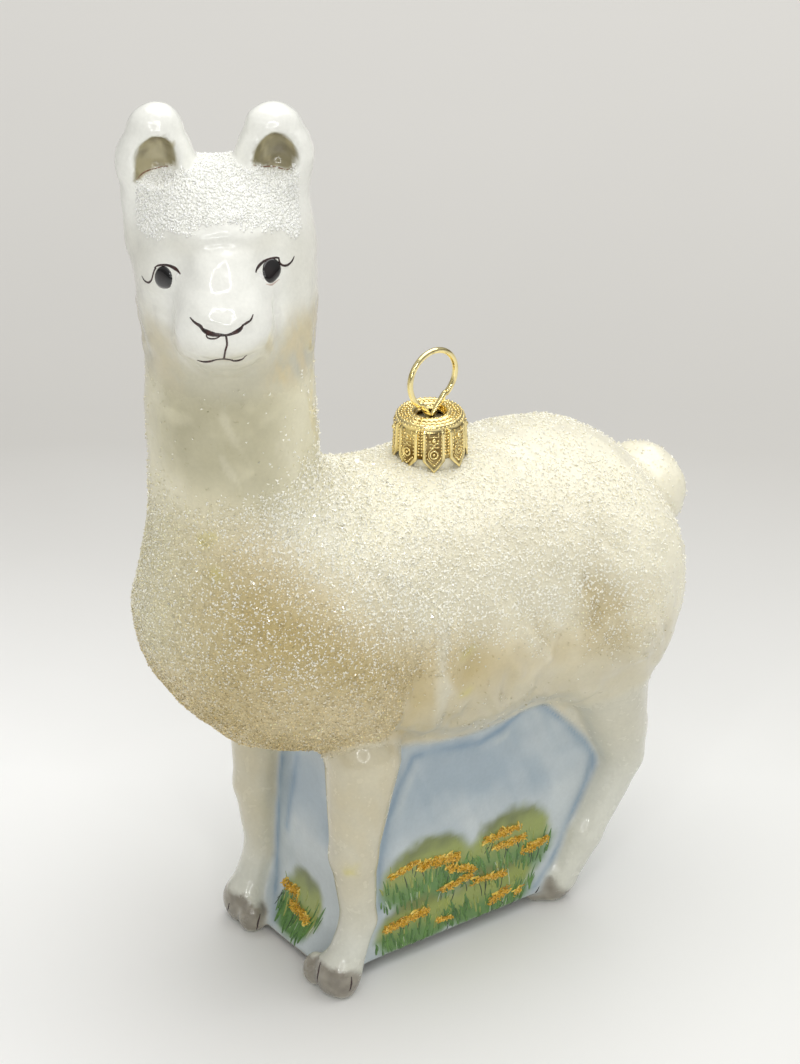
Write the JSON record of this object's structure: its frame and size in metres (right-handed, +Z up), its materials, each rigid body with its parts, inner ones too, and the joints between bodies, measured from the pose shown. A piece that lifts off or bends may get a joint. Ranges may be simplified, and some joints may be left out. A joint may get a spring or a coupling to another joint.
{
  "type": "blown-glass llama ornament",
  "caption": "Hanging ornament in blown glass: a standing llama with glittered fleece, a painted meadow on the web between its legs, and a gold crown cap with a wire loop.",
  "frame": {"origin": "middle of the figure's length and width, at the level of its soles", "axes": "+Z up, -Y the way the body faces, +X the llama's left side"},
  "size_m": [0.0418, 0.0825, 0.1214],
  "materials": {
    "fleece_lacquer": "pearly cream lacquer on glass, under fine glitter",
    "face_lacquer": "glossy white lacquer on glass",
    "black_enamel": "glossy black enamel",
    "toe_enamel": "satin grey-brown enamel",
    "meadow_paint": "glossy painted lacquer on glass",
    "cap_gold": "bright stamped gold-coloured tinplate",
    "wire_gold": "polished gold-coloured wire"
  },
  "bodies": {
    "root": {"trunk": "fleece_lacquer", "tail": "fleece_lacquer", "neck": "fleece_lacquer", "head": "face_lacquer", "ear_left": "face_lacquer", "ear_right": "face_lacquer", "eye_left": "black_enamel", "eye_right": "black_enamel", "leg_front_left": "fleece_lacquer", "leg_front_right": "fleece_lacquer", "leg_hind_left": "fleece_lacquer", "leg_hind_right": "fleece_lacquer", "foot_front_left": "toe_enamel", "foot_front_right": "toe_enamel", "foot_hind_left": "toe_enamel", "foot_hind_right": "toe_enamel", "meadow_web": "meadow_paint", "cap": "cap_gold", "hanger_loop": "wire_gold"}
  },
  "joints": []
}
